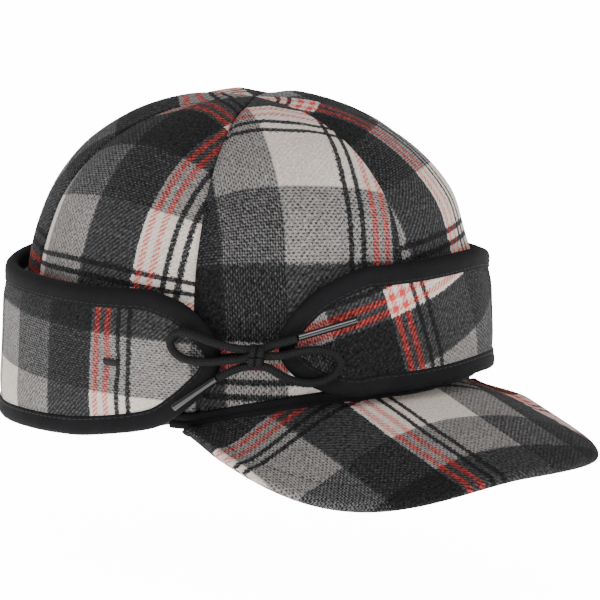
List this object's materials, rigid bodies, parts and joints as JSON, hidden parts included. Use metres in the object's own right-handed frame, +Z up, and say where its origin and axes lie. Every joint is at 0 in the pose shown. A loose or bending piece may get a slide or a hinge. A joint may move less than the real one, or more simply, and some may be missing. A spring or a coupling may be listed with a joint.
{
  "type": "wool cap with earband",
  "caption": "Six-panel plaid wool cap with a short soft visor, black binding and a pull-down earband tied in a cord bow.",
  "frame": {"origin": "centre of the head opening, in the plane of the crown's lower rim at the sides and back", "axes": "+Z up through the crown, -Y to the front where the visor is, +X to the wearer's left"},
  "size_m": [0.2018, 0.3003, 0.1464],
  "materials": {
    "plaid_wool_crown": "felted plaid wool twill",
    "plaid_wool_visor": "felted plaid wool twill",
    "plaid_wool_earband": "felted plaid wool twill",
    "lining_satin": "black satin lining",
    "sweatband_twill": "black cotton twill",
    "visor_board_plastic": "flexible visor board",
    "earband_fleece": "black brushed knit",
    "binding_tape": "black folded cotton tape",
    "tack_thread": "black thread",
    "cord_braid": "black braided cord",
    "aglet_plastic": "black glossy tube"
  },
  "bodies": {
    "crown": {"crown_panel_front_right": "plaid_wool_crown", "crown_panel_side_right": "plaid_wool_crown", "crown_panel_back_right": "plaid_wool_crown", "crown_panel_back_left": "plaid_wool_crown", "crown_panel_side_left": "plaid_wool_crown", "crown_panel_front_left": "plaid_wool_crown", "lining_panel_front_right": "lining_satin", "lining_panel_side_right": "lining_satin", "lining_panel_back_right": "lining_satin", "lining_panel_back_left": "lining_satin", "lining_panel_side_left": "lining_satin", "lining_panel_front_left": "lining_satin", "sweatband": "sweatband_twill", "crown_base_binding": "binding_tape", "visor_top_cover": "plaid_wool_visor", "visor_board": "visor_board_plastic", "visor_under_cover": "plaid_wool_visor"},
    "earband": {"earband_outer_right": "plaid_wool_earband", "earband_outer_left": "plaid_wool_earband", "earband_lining_right": "earband_fleece", "earband_lining_left": "earband_fleece", "earband_binding": "binding_tape", "bar_tack": "tack_thread", "tie_knot": "cord_braid", "tie_lead_back": "cord_braid", "tie_lead_front": "cord_braid", "tie_loop_back": "cord_braid", "tie_loop_front": "cord_braid", "tie_tail_back": "cord_braid", "tie_tail_front": "cord_braid", "aglet_back": "aglet_plastic", "aglet_front": "aglet_plastic"}
  },
  "joints": [
    {"name": "earband_pull_down", "type": "hinge", "parent": "crown", "child": "earband", "pos_m": [0, -0.109, 0.077], "axis": [-1, 0, 0], "range_deg": [0, 5]}
  ]
}
